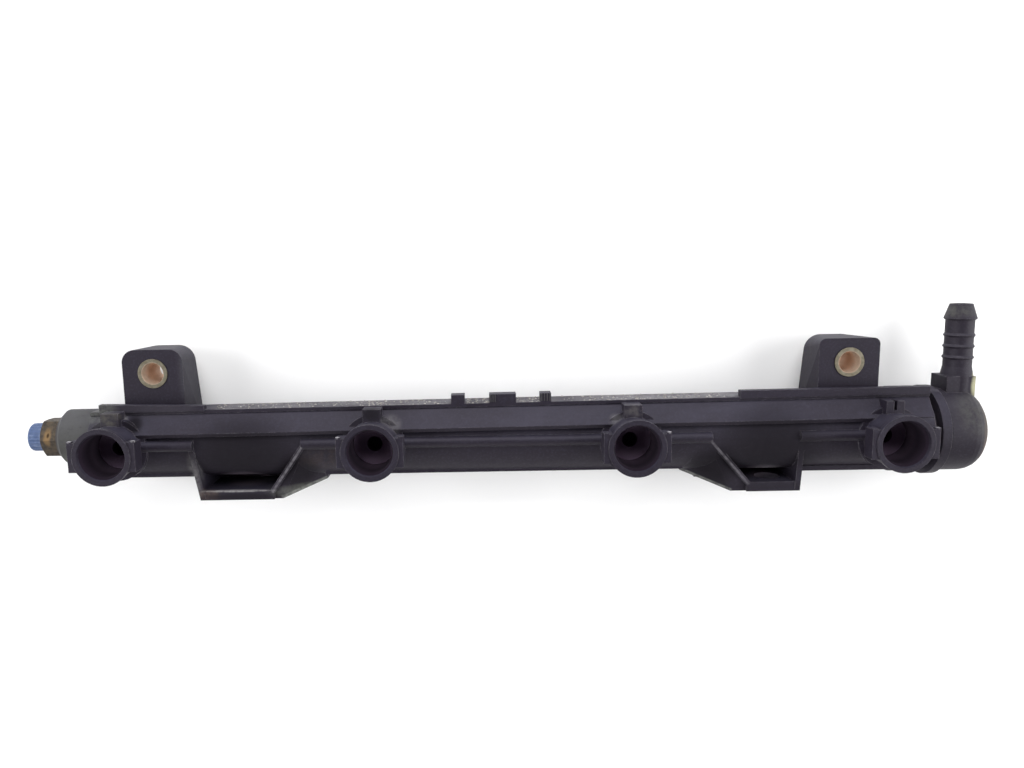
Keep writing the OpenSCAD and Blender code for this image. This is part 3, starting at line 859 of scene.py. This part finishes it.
@dataclass
class RailMoulding:
    """The black moulding, with its dust, its stained places, its painted shade and light, and the grit on
    its spine.
    """

    cup_line: float = CUP_LINE
    cup_places: Tuple[float, ...] = (-127.5 * MM, -42.5 * MM, 42.5 * MM, 127.5 * MM)
    cup_radius: float = 7.0 * MM
    cup_mouth: float = 17.3 * MM
    spine_top: float = 12.8 * MM
    spine_rise: float = math.tan(math.radians(0.4))
    spine_level_x: float = -62 * MM
    plate_front: float = 4.4 * MM
    plate_back: float = 6.0 * MM
    dust_runs: Tuple[Tuple[float, float, float], ...] = (
        (-98 * MM, -9 * MM, 0.5), (-14 * MM, 22 * MM, 0.40), (22 * MM, 84 * MM, 0.72))
    grit_runs: Tuple[Tuple[float, float, int], ...] = (
        (-96 * MM, -18 * MM, 260), (-12 * MM, -3 * MM, 90), (5 * MM, 14 * MM, 90),
        (20 * MM, 76 * MM, 170), (-46 * MM, -38 * MM, 40))
    grit_size: Tuple[float, float] = (0.10 * MM, 0.38 * MM)
    grit_shape: Point = (1.3, 0.8, 1.1)
    grit_seed: int = 7
    tab_height: float = 2.9 * MM
    ridge_places: Tuple[float, ...] = (
        -3.6 * MM, -2.9 * MM, -2.2 * MM, 13.2 * MM, 14.1 * MM, 15.0 * MM, 15.9 * MM)
    ridge_size: Point = (0.36 * MM, 2.5 * MM, 0.22 * MM)
    ridge_gap: float = 0.1 * MM

    def stains_and_painted_light(self) -> Tuple[StainOrPaintedLight, ...]:
        """The dirty, worn, darker and lighter places, and the patches of painted shade, shadow, highlight
        and light, each set from the photograph; the comments above them say which are painted.
        """
        green, brown, light = (0.19, 0.20, 0.17), (0.12, 0.085, 0.06), (0.34, 0.33, 0.33)
        # the second colour here is painted shade, for the dark rim at the boss's end chamfer
        black, chamfer_shade = (0.0035, 0.0025, 0.0045), (0.020, 0.017, 0.017)
        # painted highlights on the nubs of the ears, together with wear
        nub_glint_and_wear, nub_reach = (0.42, 0.41, 0.43), (0.0010, 0.0007, 0.0010)
        nubs = (
            (-0.1275, -1, 0.8), (-0.1275, 1, 0.6), (-0.0425, -1, 0.8), (0.0425, 1, 0.8),
            (0.1275, 1, 0.45))
        y = self.cup_line
        return (
            StainOrPaintedLight((-0.1440, y + 0.003, -0.001), (0.013, 0.016, 0.014), green, 0.27, 0.30),
            # painted shade: the dark rim at the boss's end chamfer
            StainOrPaintedLight((-0.1495, y + 0.002, -0.003), (0.0016, 0.018, 0.020), chamfer_shade, 0.8, 0.2, True),
            StainOrPaintedLight((-0.1330, y + 0.012, 0.003), (0.008, 0.006, 0.008), green, 0.35, 0.45),
            StainOrPaintedLight((-0.1440, y - 0.006, -0.002), (0.010, 0.006, 0.012), green, 0.22, 0.30),
            # painted light on the left wall of the left pocket
            StainOrPaintedLight((-0.1030, y - 0.010, 0.004), (0.003, 0.012, 0.006), light, 0.25, 0.45),
            # painted highlight along the front edge of the left lip
            StainOrPaintedLight((-0.0900, y - 0.0152, 0.0046), (0.016, 0.0007, 0.002), light, 0.6, 0.45),
            StainOrPaintedLight((-0.0990, y - 0.0165, 0.0046), (0.005, 0.003, 0.003), brown, 0.3, 0.4),
            # painted highlight on the top of cup 2's collar
            StainOrPaintedLight((-0.0368, y + 0.0072, 0.0074), (0.0045, 0.0050, 0.004), light, 0.18, 0.42),
            StainOrPaintedLight((-0.0425, y + 0.0110, 0.009), (0.0045, 0.0035, 0.004), black, 0.8, 0.2),
            StainOrPaintedLight((-0.1275, y + 0.0110, 0.009), (0.0050, 0.0035, 0.004), (0.10, 0.095, 0.075), 0.5, 0.5),
            StainOrPaintedLight((-0.1249, y + 0.0089, 0.0044), (0.0018, 0.0035, 0.002), light, 0.25, 0.40),
            # painted shadow of cup 1's collar
            StainOrPaintedLight((-0.1212, y + 0.0080, 0.006), (0.0035, 0.0045, 0.004), black, 0.9, 0.2),
            StainOrPaintedLight((0.0425, y + 0.0110, 0.009), (0.0050, 0.0040, 0.004), (0.16, 0.15, 0.14), 0.32, 0.58),
            # painted highlight on the top of cup 3's collar
            StainOrPaintedLight((0.0373, y + 0.0074, 0.0074), (0.003, 0.003, 0.003), light, 0.16, 0.42),
            StainOrPaintedLight((0.1425, y, -0.005), (0.0011, 0.024, 0.026), (0.30, 0.27, 0.27), 0.9, 0.1, True),
            StainOrPaintedLight((-0.0680, y - 0.009, 0.004), (0.009, 0.009, 0.008), black, 0.8, 0.15),
            StainOrPaintedLight((0.0700, y - 0.010, 0.004), (0.011, 0.011, 0.009), black, 0.95, 0.15),
            StainOrPaintedLight((-0.0870, y - 0.0175, 0.0040), (0.020, 0.0020, 0.003), black, 0.8, 0.2),
            StainOrPaintedLight((0.0900, y - 0.0170, 0.0040), (0.020, 0.0030, 0.003), black, 0.45, 0.2),
            # painted light on the right side of the left lug
            StainOrPaintedLight((-0.1030, 0.0, -0.005), (0.006, 0.018, 0.016), (0.055, 0.055, 0.062), 0.55, 0.2),
            StainOrPaintedLight((-0.1420, y - 0.008, -0.002), (0.010, 0.006, 0.012), green, 0.14, 0.25),
            StainOrPaintedLight((-0.1150, y + 0.0125, 0.0050), (0.018, 0.0030, 0.004), (0.040, 0.036, 0.045), 0.40, 0.3),
            # painted light deep in both pockets, against their shade
            StainOrPaintedLight((-0.0880, y - 0.0080, -0.0140), (0.0125, 0.0085, 0.0058), (0.50, 0.42, 0.52), 1.0, 0.0),
            StainOrPaintedLight((0.0885, y - 0.0080, -0.0140), (0.0105, 0.0085, 0.0058), (0.45, 0.38, 0.47), 1.0, 0.0),
            StainOrPaintedLight((-0.0560, y - 0.004, 0.004), (0.016, 0.006, 0.008), brown, 0.13, 0.5),
            StainOrPaintedLight((-0.0680, y - 0.016, 0.000), (0.014, 0.003, 0.012), green, 0.30, 0.4),
            # painted shade over the tube inside both pockets
            StainOrPaintedLight((-0.0860, y - 0.001, 0.004), (0.025, 0.013, 0.010), black, 0.9, 0.15),
            StainOrPaintedLight((0.0890, y - 0.001, 0.004), (0.025, 0.014, 0.010), black, 0.9, 0.15),
            # painted light deep in both pockets, against their shade
            StainOrPaintedLight((-0.0880, y - 0.0100, -0.008), (0.0128, 0.0078, 0.011), (0.16, 0.135, 0.165), 0.9, 0.2),
            StainOrPaintedLight((0.0885, y - 0.0100, -0.008), (0.0108, 0.0078, 0.011), (0.15, 0.125, 0.155), 0.9, 0.2),
        ) + tuple(
            # painted highlights with wear on the nubs of the ears
            StainOrPaintedLight((x + side * 0.0101, y + 0.0050, 0.0168), nub_reach, nub_glint_and_wear, share, 0.1)
            for x, side, share in nubs)

    def streaks(self) -> Tuple[Streak, ...]:
        """The painted highlights on the brackets: light lines, each along an edge of the moulding."""
        y = self.cup_line
        light, green = (0.20, 0.19, 0.21), (0.24, 0.25, 0.23)
        return (
            # painted highlights along the front edges of the slanted ribs
            Streak((-0.0774, y - 0.0160), (-0.0660, y + 0.0002), 0.0004, light, 0.45, (0.002, 0.010)),
            Streak((0.0825, y - 0.0160), (0.0684, y + 0.0002), 0.0004, light, 0.35, (0.002, 0.010)),
            # painted highlights along the lower edges of the ramps
            Streak((-0.0745, y - 0.0180), (-0.0598, y - 0.0128), 0.0006, green, 0.55),
            Streak((0.0770, y - 0.0181), (0.0612, y - 0.0120), 0.0005, green, 0.45),
        )

    def dress(self, frame: dict) -> None:
        """Finishes the moulding and adds its grit and its ridges.

        Args:
            frame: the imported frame.
        """
        plate = DustyPlate(
            self.cup_line + self.spine_top, self.spine_rise, self.spine_level_x, self.plate_front,
            self.dust_runs)
        wells = Wells(self.cup_places, self.cup_line, self.cup_radius, self.cup_mouth)
        finish = Moulding(
            "rail_black_plastic", stains_and_painted_light=self.stains_and_painted_light(), streaks=self.streaks(), dusty_plate=plate,
            wells=wells)
        dress(frame["nodes"]["rail_body"], finish.build())
        self.grit()
        self.ridges()

    def spine(self, x: np.ndarray) -> np.ndarray:
        """The places along Y of the spine's upper face, which rises evenly with x."""
        return self.cup_line + self.spine_top + (x - self.spine_level_x) * self.spine_rise

    def ridges(self) -> None:
        """Makes the fine ridges on the front of the tabs.

        A ridge is a bar along Y: its eight corners are its middle plus or minus half its width,
        half its length and its height, and its front is half as wide as its foot, which is sunk
        into the tab by as much as it stands out.
        """
        width, length, proud = self.ridge_size
        x = np.array(self.ridge_places)
        middle = self.spine(x) + self.tab_height - length / 2 - self.ridge_gap
        centre = np.stack([x, middle, np.full_like(x, self.plate_front)], axis=-1)
        square = ((-1, -1), (1, -1), (1, 1), (-1, 1))
        corners = np.array([[i, j, k] for k in (-1, 1) for i, j in square], float)
        corners[4:, 0] *= 0.5
        points = centre[:, None] + corners[None] * np.array([width / 2, length / 2, proud])
        box = np.array(
            [[3, 2, 1, 0], [4, 5, 6, 7], [0, 1, 5, 4], [1, 2, 6, 5], [2, 3, 7, 6], [3, 0, 4, 7]])
        faces = (box[None] + 8 * np.arange(len(x))[:, None, None]).reshape(-1, 4)
        # painted highlight: the ridges get a lighter base and grey than the rail
        finish = Moulding(
            "tab_ridge_plastic", base=(0.035, 0.034, 0.036), grey=(0.10, 0.10, 0.095),
            edge_radius=0.1 * MM)
        mesh_piece(
            "tab_ridges", points.reshape(-1, 3), faces.tolist(), Body.RAIL,
            finish.build())

    def grit(self) -> None:
        """Scatters grains of dirt over the upper face of the spine.

        A grain is an eight-faced lump: its six corners are its centre plus or minus its half
        size along each axis, each changed by up to a third, and sunk a little into the face.
        Most grains are small: the size grows with a random share to the power of 2.5.
        """
        rng = np.random.default_rng(self.grit_seed)
        count = sum(run[2] for run in self.grit_runs)
        smallest, largest = self.grit_size
        x = np.concatenate([rng.uniform(a, b, n) for a, b, n in self.grit_runs])
        z = rng.uniform(-self.plate_back + 0.5 * MM, self.plate_front - 0.3 * MM, count)
        size = smallest + (largest - smallest) * rng.random(count) ** 2.5
        centre = np.stack([x, self.spine(x) + size * 0.25, z], axis=-1)
        corners = np.array(
            [[1, 0, 0], [-1, 0, 0], [0, 1, 0], [0, -1, 0], [0, 0, 1], [0, 0, -1]], float)
        uneven = 1 + (rng.random((count, 6, 1)) - 0.5) * 0.66
        lumps = corners[None] * size[:, None, None] * uneven * np.array(self.grit_shape)
        points = (centre[:, None] + lumps).reshape(-1, 3)
        lump = np.array(
            [[0, 2, 4], [2, 1, 4], [1, 3, 4], [3, 0, 4], [2, 0, 5], [1, 2, 5], [3, 1, 5], [0, 3, 5]])
        faces = (lump[None] + 6 * np.arange(count)[:, None, None]).reshape(-1, 3)
        finish = Soft("spine_grit", (0.42, 0.40, 0.38), (0.22, 0.20, 0.18), 0.85)
        mesh_piece("spine_grit", points, faces.tolist(), Body.RAIL, finish.build())


@dataclass
class Bushes:
    """The two plated steel bushes."""

    spacing: float = 232.4 * MM
    bore_radius: float = 3.6 * MM

    def dress(self, frame: dict) -> None:
        """Finishes both bushes.

        Args:
            frame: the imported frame.
        """
        half = self.spacing / 2
        # the second bore colour is painted light deep in the bores
        bores = RustyBores(
            (-half, half), self.bore_radius, float(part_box("left_bush")[1][2]), (0.38, 0.275, 0.205),
            (0.90, 0.66, 0.50))
        finish = Metal(
            "yellow_zinc", (0.215, 0.195, 0.150), (0.14, 0.125, 0.09), (0.12, 0.085, 0.06), 0.40,
            0.35, bores).build()
        for name in ("left_bush", "right_bush"):
            dress(frame["nodes"][name], finish)


@dataclass
class HoseElbow:
    """The end cap with the barb, and the ring that seals it."""

    cup_line: float = CUP_LINE
    axis_z: float = AXIS_Z

    def dress(self, frame: dict) -> None:
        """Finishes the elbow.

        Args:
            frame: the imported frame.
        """
        y, z = self.cup_line, self.axis_z
        green, brown, yellow = (0.15, 0.155, 0.12), (0.15, 0.11, 0.075), (0.42, 0.41, 0.27)
        stains_and_painted_light = (
            StainOrPaintedLight((0.1451, y, z + 0.002), (0.0022, 0.026, 0.026), (0.034, 0.031, 0.022), 0.95, 0.15, True),
            StainOrPaintedLight((0.1467, y, z + 0.002), (0.0006, 0.030, 0.030), (0.002, 0.002, 0.002), 1.0, 0.0, True),
            StainOrPaintedLight((0.1425, y, z), (0.0011, 0.024, 0.026), (0.30, 0.27, 0.27), 0.9, 0.1, True),
            StainOrPaintedLight((0.1600, y - 0.001, z + 0.003), (0.0035, 0.015, 0.016), brown, 0.6, 0.42),
            StainOrPaintedLight((0.1570, y + 0.006, z + 0.009), (0.010, 0.010, 0.010), green, 0.18, 0.45),
            StainOrPaintedLight((0.1592, y + 0.0155, z + 0.004), (0.0018, 0.005, 0.006), yellow, 0.9, 0.35),
            StainOrPaintedLight((0.1545, y + 0.0400, z), (0.006, 0.004, 0.006), green, 0.35, 0.5),
        )
        finish = Moulding("elbow_black_plastic", grey=(0.034, 0.032, 0.043), stains_and_painted_light=stains_and_painted_light)
        dress(frame["nodes"]["inlet_elbow"], finish.build())


@dataclass
class TestValve:
    """The brass test valve, its core and the dust cap with fine grips."""

    cup_line: float = CUP_LINE
    rise: float = 2.3 * MM
    axis_z: float = AXIS_Z
    cap_wall: float = 0.9 * MM
    cap_inner: float = 3.93 * MM
    cap_rows: int = 9
    grips: int = 24
    grip_steps: int = 8
    grip_depth: float = 0.22 * MM
    spring_wire: float = 0.3 * MM
    spring_turns: int = 3
    turn_steps: int = 24
    wire_sides: int = 12
    pin_travel: float = 1.2 * MM

    def dress(self, frame: dict) -> None:
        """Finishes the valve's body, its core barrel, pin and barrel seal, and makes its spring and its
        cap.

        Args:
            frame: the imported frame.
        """
        nodes = frame["nodes"]
        y = self.cup_line + self.rise
        brass = Metal(
            "dirty_brass", (0.100, 0.080, 0.060), (0.055, 0.049, 0.045), (0.03, 0.026, 0.024),
            0.48, 0.85, stains_and_painted_light=(
                StainOrPaintedLight((-0.1530, y + 0.0010, 0.0010), (0.0016, 0.0040, 0.004), (0.34, 0.21, 0.09), 0.5),
                StainOrPaintedLight((-0.1528, y + 0.0016, 0.0010), (0.0006, 0.0010, 0.004), (0.02, 0.015, 0.012), 0.85)))
        turned = Metal(
            "turned_brass", (0.85, 0.64, 0.32), (0.66, 0.46, 0.20), (0.20, 0.13, 0.07), 0.3, 0.15)
        steel = Metal(
            "core_steel", (0.75, 0.75, 0.77), (0.52, 0.52, 0.55), (0.2, 0.17, 0.14), 0.3, 0.12
        ).build()
        white = Soft("seal_white", (0.78, 0.78, 0.74), (0.66, 0.65, 0.60), 0.5)
        dress(nodes["test_valve_body"], brass.build())
        dress(nodes["core_barrel"], turned.build())
        dress(nodes["core_pin"], steel)
        dress(nodes["core_barrel_seal"], white.build())
        self.spring(steel)
        self.cap()

    def on_axis(self, points: np.ndarray) -> np.ndarray:
        """Points about the X axis, moved onto the valve's own axis."""
        return points + np.array([0, self.cup_line + self.rise, self.axis_z])

    def spring(self, material: bpy.types.Material) -> None:
        """Makes the core's spring as one fixed piece.

        Its middle line is (x, R cos a, R sin a), where the angle a runs through all its turns
        and x grows evenly with it. Each ring of wire around it has the points line + r (n cos b
        + m sin b), where n points away from the valve's axis and m is square to n and the line.

        Args:
            material: what the spring is made of.
        """
        low, high = (np.array(corner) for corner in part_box("core_spring"))
        wire, sides = self.spring_wire / 2, self.wire_sides
        mean = (high[2] - low[2]) / 2 - wire
        steps = self.spring_turns * self.turn_steps + 1
        turn = np.linspace(0, self.spring_turns * 2 * np.pi, steps)
        x = np.linspace(low[0] + wire, high[0] - wire, len(turn))
        away = np.stack([np.zeros_like(turn), np.cos(turn), np.sin(turn)], axis=-1)
        line = away * mean
        line[:, 0] = x
        along = np.gradient(line, axis=0)
        along /= np.linalg.norm(along, axis=1, keepdims=True)
        side = np.cross(along, away)
        around = np.arange(sides) * 2 * np.pi / sides
        ring = away[:, None] * np.cos(around)[:, None] + side[:, None] * np.sin(around)[:, None]
        points = self.on_axis((line[:, None] + wire * ring).reshape(-1, 3))
        first = np.arange((len(turn) - 1) * sides).reshape(-1, sides)
        beside = np.roll(first, -1, axis=1)
        quads = np.stack([first, beside, beside + sides, first + sides], axis=-1).reshape(-1, 4)
        ends = [list(range(sides))[::-1], list(range(len(points) - sides, len(points)))]
        piece = mesh_piece(
            "valve_core_spring", points, quads.tolist() + ends, Body.RAIL, material)
        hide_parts("core_spring")
        self.cup_line + self.rise
        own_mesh(piece)

    def cap(self) -> None:
        """Makes the dust cap in place of its plain solid.

        Its outer wall has grips: the radius at angle a is less by the grip's depth times
        (1 - cos(n a)) / 2, and the grips fade out towards both ends of the wall. The profile
        runs from the middle of the end over the wall to the mouth and back inside.
        """
        low, high = (np.array(corner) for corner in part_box("dust_cap"))
        end, mouth, outer = low[0], high[0], (high[2] - low[2]) / 2
        bevel = self.cap_wall
        wall = np.linspace(end + bevel, mouth - 0.3 * MM, self.cap_rows)
        radii = np.concatenate([
            [0, outer - bevel * 1.6, outer - bevel, outer - bevel * 0.3],
            np.full(self.cap_rows, outer),
            [outer - 0.15 * MM, outer - 0.4 * MM, self.cap_inner, self.cap_inner, 0]])
        places = np.concatenate([
            [end, end, end + bevel * 0.18, end + bevel * 0.6], wall,
            [mouth - 0.08 * MM, mouth, mouth, end + bevel, end + bevel]])
        count = self.grips * self.grip_steps
        angle = np.arange(count) * 2 * np.pi / count
        fade = np.zeros(len(radii))
        fade[4:4 + self.cap_rows] = np.sin(np.linspace(0.12, np.pi - 0.12, self.cap_rows)) ** 0.4
        flutes = fade[:, None] * self.grip_depth * (1 - np.cos(self.grips * angle)) / 2
        points, faces = revolved(radii, places, count, flutes)
        finish = Soft(
            "blue_plastic", (0.040, 0.072, 0.17), (0.070, 0.110, 0.22), 0.45, (0.30, 0.33, 0.40),
            0.45)
        piece = mesh_piece(
            "valve_dust_cap", self.on_axis(points), faces, Body.VALVE_CAP,
            finish.build())
        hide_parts("dust_cap")


@dataclass
class Seals:
    """All the rubber rings and washers."""

    names: Tuple[str, ...] = ("inlet_seal", "test_valve_seal", "core_pin_seal", "dust_cap_liner")

    def dress(self, frame: dict) -> None:
        """Finishes the seals.

        Args:
            frame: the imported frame.
        """
        rubber = Soft("black_rubber", (0.016, 0.016, 0.017), (0.028, 0.027, 0.027), 0.55).build()
        for name in self.names:
            dress(frame["nodes"][name], rubber)


@dataclass(frozen=True)
class SoftBox:
    """One soft light: a square that looks at the rail from a direction."""

    name: str
    azimuth: float
    elevation: float
    size: float
    power: float
    distance: float = 1.0


@dataclass
class Studio:
    """The white table, the soft lights and the camera."""

    floor_z: float = -20.5 * MM
    table_radius: float = 0.95
    table_points: int = 128
    world_low: float = 0.70
    world_high: float = 0.04
    boxes: Tuple[SoftBox, ...] = field(default_factory=lambda: (
        SoftBox("light_behind", 90, 34, 0.8, 10.4),
        SoftBox("light_left", 180, 30, 0.8, 9.0),
        SoftBox("light_right", 0, 30, 0.8, 10.0),
        SoftBox("light_front", -90, 36, 0.8, 4.0)))
    lens: float = 28.125
    sensor_width: float = 36.0
    shift: float = 34 / 1024
    clip_start: float = 0.01
    eye: Point = (-0.00777, 0.03515, 0.26465)
    tilt: float = -8.7
    roll: float = -0.96

    def build(self) -> None:
        """Makes the table, the lights and the camera."""
        self.table()
        for box in self.boxes:
            self.light(box)
        self.room()
        bpy.context.scene.view_settings.view_transform = "Standard"
        self.camera()

    def room(self) -> None:
        """Makes the room: light walls all round, and a darker ceiling above the camera."""
        world = bpy.data.worlds.new("room")
        sheet = NodeSheet(world, "ShaderNodeOutputWorld")
        _, _, up = sheet.parts(sheet.add("ShaderNodeTexCoord", {}, {}).outputs["Generated"])
        strength = self.world_low + up.rise(0.1, 0.75) * (self.world_high - self.world_low)
        back = sheet.add("ShaderNodeBackground", {}, {"Color": (1, 1, 1, 1), "Strength": strength})
        sheet.tree.links.new(back.outputs[0], sheet.output.inputs[0])
        bpy.context.scene.world = world

    def table(self) -> None:
        """Makes the table as one round top under the rail: radius times (cos a, sin a)."""
        angle = np.arange(self.table_points) * 2 * np.pi / self.table_points
        x, y = np.cos(angle) * self.table_radius, np.sin(angle) * self.table_radius
        points = np.column_stack([x, y, np.full(self.table_points, self.floor_z)])
        mesh = bpy.data.meshes.new("table")
        mesh.from_pydata(points.tolist(), [], [tuple(range(self.table_points))])
        mesh.materials.append(Table().build())
        table = bpy.data.objects.new("table", mesh)
        bpy.context.scene.collection.objects.link(table)

    def light(self, box: SoftBox) -> None:
        """Adds one soft light.

        Args:
            box: where it stands, its size and its power.
        """
        light = bpy.data.lights.new(box.name, "AREA")
        light.shape, light.size, light.energy = "SQUARE", box.size, box.power
        lamp = bpy.data.objects.new(box.name, light)
        azimuth, elevation = math.radians(box.azimuth), math.radians(box.elevation)
        turn = Matrix.Rotation(azimuth, 4, "Z") @ Matrix.Rotation(math.pi / 2 - elevation, 4, "Y")
        lamp.matrix_world = turn @ Matrix.Translation((0, 0, box.distance))
        bpy.context.scene.collection.objects.link(lamp)

    def camera(self) -> None:
        """Sets the camera where the photograph was taken."""
        data = bpy.data.cameras.new("camera")
        data.lens, data.sensor_width = self.lens, self.sensor_width
        data.shift_x, data.clip_start = self.shift, self.clip_start
        camera = bpy.data.objects.new("camera", data)
        camera.matrix_world = (
            Matrix.Translation(self.eye)
            @ Matrix.Rotation(math.radians(self.tilt), 4, "X")
            @ Matrix.Rotation(math.radians(self.roll), 4, "Z")
        )
        bpy.context.scene.collection.objects.link(camera)
        bpy.context.scene.camera = camera


def main() -> None:
    """Builds the looks in order."""
    logging.basicConfig(level=logging.INFO, format="%(name)s: %(message)s")
    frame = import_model()
    Studio().build()
    for part in (RailMoulding(), Bushes(), HoseElbow(), TestValve(), Seals()):
        part.dress(frame)
        LOG.info("dressed %s", type(part).__name__)


if __name__ == "__main__":
    main()
